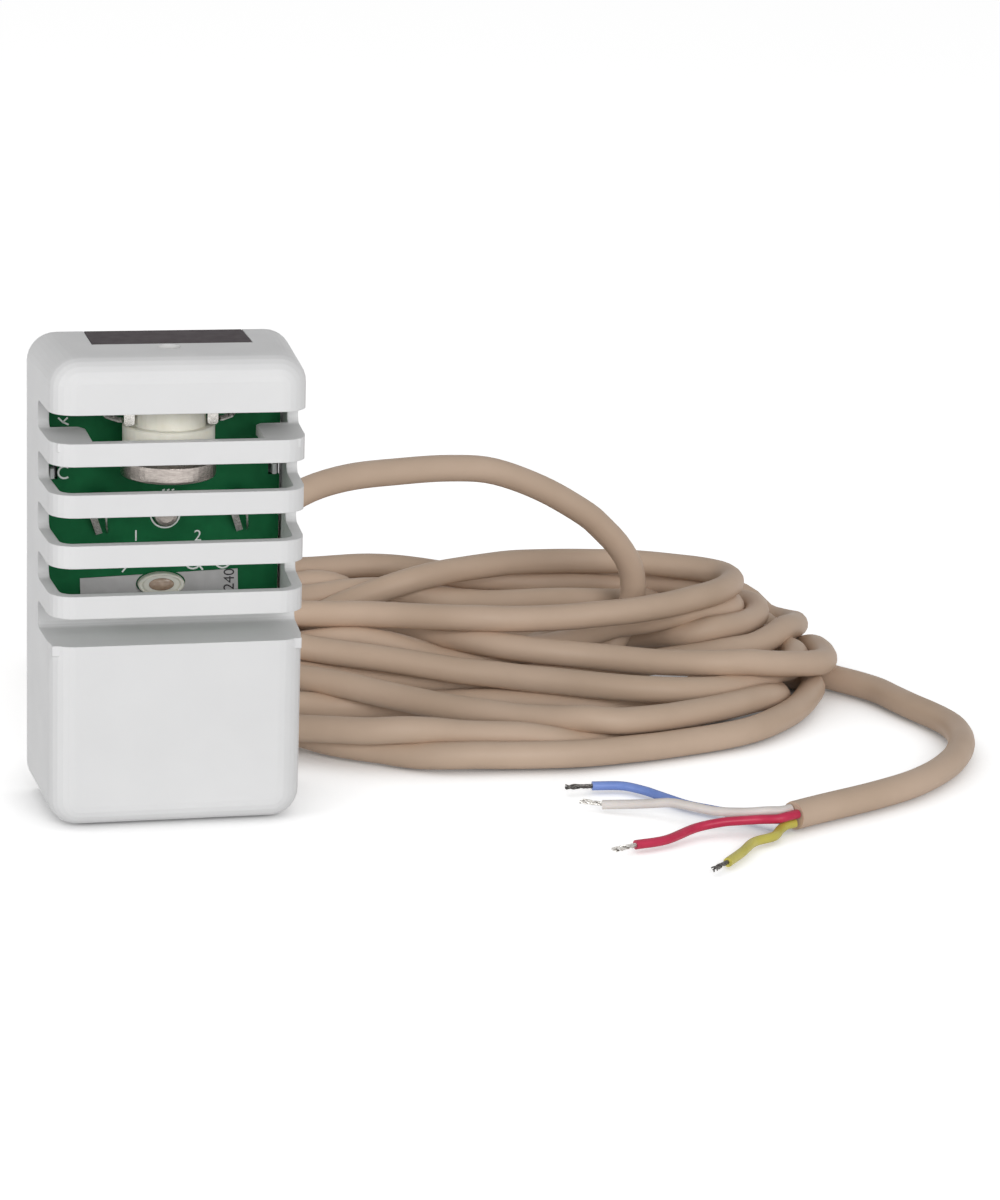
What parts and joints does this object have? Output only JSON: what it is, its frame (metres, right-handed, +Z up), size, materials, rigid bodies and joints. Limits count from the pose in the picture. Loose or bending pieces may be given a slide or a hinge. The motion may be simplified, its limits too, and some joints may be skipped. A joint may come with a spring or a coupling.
{
  "type": "sauna temperature sensor",
  "caption": "Wall sensor with a louvred plastic housing, a board and overheat cutout behind the slats, a reset button, and a coiled cable with stripped ends.",
  "frame": {"origin": "centre of the housing's bottom face, between the front face and the back plate's rear face", "axes": "+Z up the housing, -Y out of the front face, +Y towards the wall, +X to the right seen from the front"},
  "size_m": [0.1969, 0.178, 0.0907],
  "materials": {
    "cover_plastic": "fine moulded texture, faintly glossy",
    "plate_plastic": "fine moulded texture",
    "dark_film": "printed satin film",
    "solder_mask": "green solder mask",
    "grey_paper": "grey label",
    "cream_moulding": "cream heatproof moulding",
    "amber_bead": "glassy bead",
    "steel": "brushed",
    "tinned_wire": "tinned copper",
    "dark_ceramic": "dark coated body",
    "grommet_rubber": "beige rubber",
    "nylon": "natural nylon",
    "cable_jacket": "beige silicone jacket",
    "core_white": "silicone insulation",
    "core_blue": "silicone insulation",
    "core_red": "silicone insulation",
    "core_yellow": "silicone insulation"
  },
  "bodies": {
    "housing": {"louvred_cover": "cover_plastic", "back_plate": "plate_plastic", "top_label": "dark_film", "cover_screw_left": "steel", "cover_screw_right": "steel", "circuit_board": "solder_mask", "board_screw": "steel", "board_label": "grey_paper", "sensor_bush": "cream_moulding", "sensor_bead": "amber_bead", "cutout_cap": "steel", "cutout_body": "cream_moulding", "cable_grommet": "grommet_rubber", "cable_tie": "nylon", "cable_run": "cable_jacket", "cable_coil": "cable_jacket", "cable_tail": "cable_jacket", "resistor_left_body": "dark_ceramic", "resistor_left_flat_leg": "tinned_wire", "resistor_left_wire_leg": "tinned_wire", "cutout_terminal_left": "tinned_wire", "cutout_lead_left": "tinned_wire", "resistor_right_body": "dark_ceramic", "resistor_right_flat_leg": "tinned_wire", "resistor_right_wire_leg": "tinned_wire", "cutout_terminal_right": "tinned_wire", "cutout_lead_right": "tinned_wire", "core_white": "core_white", "inner_core_white": "core_white", "strands_white": "tinned_wire", "core_blue": "core_blue", "inner_core_blue": "core_blue", "strands_blue": "tinned_wire", "core_red": "core_red", "inner_core_red": "core_red", "strands_red": "tinned_wire", "core_yellow": "core_yellow", "inner_core_yellow": "core_yellow", "strands_yellow": "tinned_wire"},
    "reset_button": {"reset_button": "cream_moulding"}
  },
  "joints": [
    {"name": "reset_button_press", "type": "slide", "parent": "housing", "child": "reset_button", "axis": [0, 0, -1], "range_m": [0, 0.001], "stiffness_N_per_m": 250, "springref_m": -0.001}
  ]
}
